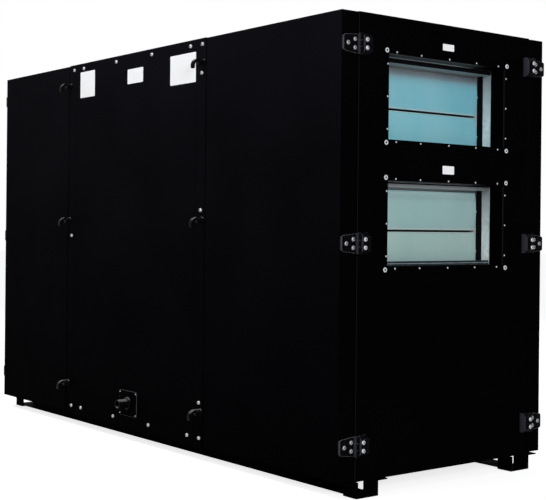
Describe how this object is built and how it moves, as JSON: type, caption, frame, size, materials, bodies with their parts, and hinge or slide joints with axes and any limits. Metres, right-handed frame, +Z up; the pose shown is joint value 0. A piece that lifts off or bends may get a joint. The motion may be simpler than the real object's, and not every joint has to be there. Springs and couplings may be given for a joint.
{
  "type": "air handling unit",
  "caption": "Long insulated air handling unit on skids, with hinged side doors, lever latches and louvred duct openings in its ends.",
  "frame": {"origin": "on the floor under the middle of the unit", "axes": "+X towards the end seen in the picture, +Y from the pictured long side to the far one, +Z up"},
  "size_m": [2.184, 0.956, 1.376],
  "materials": {
    "casing_black": "satin powder coat",
    "carcass": "satin powder coat",
    "hinge_black": "satin",
    "latch_plastic": "satin",
    "skid_black": "satin powder coat",
    "drain_plastic": "satin",
    "galvanised": "galvanised",
    "blade_blue": "brushed",
    "blade_grey": "brushed",
    "screw_zinc": "zinc plated",
    "plate_white": "satin lacquer",
    "seal_rubber": "matte"
  },
  "bodies": {
    "casing": {"floor_panel": "carcass", "roof_panel": "carcass", "front_end_panel": "casing_black", "rear_end_panel": "casing_black", "near_front_mullion": "casing_black", "near_rear_mullion": "casing_black", "far_front_mullion": "casing_black", "far_rear_mullion": "casing_black", "near_side_panel": "casing_black", "far_side_panel": "casing_black", "front_hinge_blocks": "hinge_black", "rear_hinge_blocks": "hinge_black", "latch_roses": "latch_plastic", "front_upper_damper_frame": "galvanised", "front_lower_damper_frame": "galvanised", "rear_upper_damper_frame": "galvanised", "rear_lower_damper_frame": "galvanised", "rear_blades": "blade_grey", "near_skid": "skid_black", "far_skid": "skid_black", "drain_plate": "casing_black", "drain_pipe": "drain_plastic"},
    "near_front_door": {"near_front_door": "casing_black", "near_front_hinge_leaves": "hinge_black"},
    "far_front_door": {"far_front_door": "casing_black", "far_front_hinge_leaves": "hinge_black"},
    "near_rear_door": {"near_rear_door": "casing_black", "near_rear_hinge_leaves": "hinge_black"},
    "far_rear_door": {"far_rear_door": "casing_black", "far_rear_hinge_leaves": "hinge_black"},
    "near_front_latch_top": {"near_front_latch_top": "latch_plastic"},
    "near_front_latch_mid": {"near_front_latch_mid": "latch_plastic"},
    "near_front_latch_low": {"near_front_latch_low": "latch_plastic"},
    "far_front_latch_top": {"far_front_latch_top": "latch_plastic"},
    "far_front_latch_mid": {"far_front_latch_mid": "latch_plastic"},
    "far_front_latch_low": {"far_front_latch_low": "latch_plastic"},
    "near_rear_latch_top": {"near_rear_latch_top": "latch_plastic"},
    "near_rear_latch_mid": {"near_rear_latch_mid": "latch_plastic"},
    "near_rear_latch_low": {"near_rear_latch_low": "latch_plastic"},
    "far_rear_latch_top": {"far_rear_latch_top": "latch_plastic"},
    "far_rear_latch_mid": {"far_rear_latch_mid": "latch_plastic"},
    "far_rear_latch_low": {"far_rear_latch_low": "latch_plastic"},
    "front_upper_blade_a": {"front_upper_blade_a": "blade_blue"},
    "front_upper_blade_b": {"front_upper_blade_b": "blade_blue"},
    "front_lower_blade_a": {"front_lower_blade_a": "blade_grey"},
    "front_lower_blade_b": {"front_lower_blade_b": "blade_grey"}
  },
  "joints": [
    {"name": "near_front_door_hinge", "type": "hinge", "parent": "casing", "child": "near_front_door", "pos_m": [1.078, -0.372, 0.688], "axis": [0, 0, 1], "range_deg": [0, 110]},
    {"name": "far_front_door_hinge", "type": "hinge", "parent": "casing", "child": "far_front_door", "pos_m": [1.078, 0.372, 0.688], "axis": [0, 0, -1], "range_deg": [0, 110]},
    {"name": "near_rear_door_hinge", "type": "hinge", "parent": "casing", "child": "near_rear_door", "pos_m": [-1.078, -0.372, 0.688], "axis": [0, 0, -1], "range_deg": [0, 110]},
    {"name": "far_rear_door_hinge", "type": "hinge", "parent": "casing", "child": "far_rear_door", "pos_m": [-1.078, 0.372, 0.688], "axis": [0, 0, 1], "range_deg": [0, 110]},
    {"name": "near_front_latch_top_turn", "type": "hinge", "parent": "casing", "child": "near_front_latch_top", "pos_m": [0.389, -0.432, 1.296], "axis": [0, 1, 0], "range_deg": [0, 90]},
    {"name": "near_front_latch_mid_turn", "type": "hinge", "parent": "casing", "child": "near_front_latch_mid", "pos_m": [0.389, -0.432, 0.784], "axis": [0, 1, 0], "range_deg": [0, 90]},
    {"name": "near_front_latch_low_turn", "type": "hinge", "parent": "casing", "child": "near_front_latch_low", "pos_m": [0.389, -0.432, 0.162], "axis": [0, 1, 0], "range_deg": [0, 90]},
    {"name": "far_front_latch_top_turn", "type": "hinge", "parent": "casing", "child": "far_front_latch_top", "pos_m": [0.389, 0.432, 1.296], "axis": [0, 1, 0], "range_deg": [0, 90]},
    {"name": "far_front_latch_mid_turn", "type": "hinge", "parent": "casing", "child": "far_front_latch_mid", "pos_m": [0.389, 0.432, 0.784], "axis": [0, 1, 0], "range_deg": [0, 90]},
    {"name": "far_front_latch_low_turn", "type": "hinge", "parent": "casing", "child": "far_front_latch_low", "pos_m": [0.389, 0.432, 0.162], "axis": [0, 1, 0], "range_deg": [0, 90]},
    {"name": "near_rear_latch_top_turn", "type": "hinge", "parent": "casing", "child": "near_rear_latch_top", "pos_m": [-0.503, -0.432, 1.296], "axis": [0, -1, 0], "range_deg": [0, 90]},
    {"name": "near_rear_latch_mid_turn", "type": "hinge", "parent": "casing", "child": "near_rear_latch_mid", "pos_m": [-0.503, -0.432, 0.784], "axis": [0, -1, 0], "range_deg": [0, 90]},
    {"name": "near_rear_latch_low_turn", "type": "hinge", "parent": "casing", "child": "near_rear_latch_low", "pos_m": [-0.503, -0.432, 0.162], "axis": [0, -1, 0], "range_deg": [0, 90]},
    {"name": "far_rear_latch_top_turn", "type": "hinge", "parent": "casing", "child": "far_rear_latch_top", "pos_m": [-0.503, 0.432, 1.296], "axis": [0, -1, 0], "range_deg": [0, 90]},
    {"name": "far_rear_latch_mid_turn", "type": "hinge", "parent": "casing", "child": "far_rear_latch_mid", "pos_m": [-0.503, 0.432, 0.784], "axis": [0, -1, 0], "range_deg": [0, 90]},
    {"name": "far_rear_latch_low_turn", "type": "hinge", "parent": "casing", "child": "far_rear_latch_low", "pos_m": [-0.503, 0.432, 0.162], "axis": [0, -1, 0], "range_deg": [0, 90]},
    {"name": "front_upper_blade_a_turn", "type": "hinge", "parent": "casing", "child": "front_upper_blade_a", "pos_m": [0.949, 0, 1.1875], "axis": [0, 1, 0], "range_deg": [0, 90]},
    {"name": "front_upper_blade_b_turn", "type": "hinge", "parent": "casing", "child": "front_upper_blade_b", "pos_m": [0.949, 0, 1.0605], "axis": [0, 1, 0], "range_deg": [-90, 0]},
    {"name": "front_lower_blade_a_turn", "type": "hinge", "parent": "casing", "child": "front_lower_blade_a", "pos_m": [0.949, 0, 0.8205], "axis": [0, 1, 0], "range_deg": [0, 90]},
    {"name": "front_lower_blade_b_turn", "type": "hinge", "parent": "casing", "child": "front_lower_blade_b", "pos_m": [0.949, 0, 0.6935], "axis": [0, 1, 0], "range_deg": [-90, 0]}
  ],
  "couplings": [
    {"joint": "front_upper_blade_b_turn", "follows": "front_upper_blade_a_turn", "ratio": -1},
    {"joint": "front_lower_blade_b_turn", "follows": "front_lower_blade_a_turn", "ratio": -1}
  ]
}
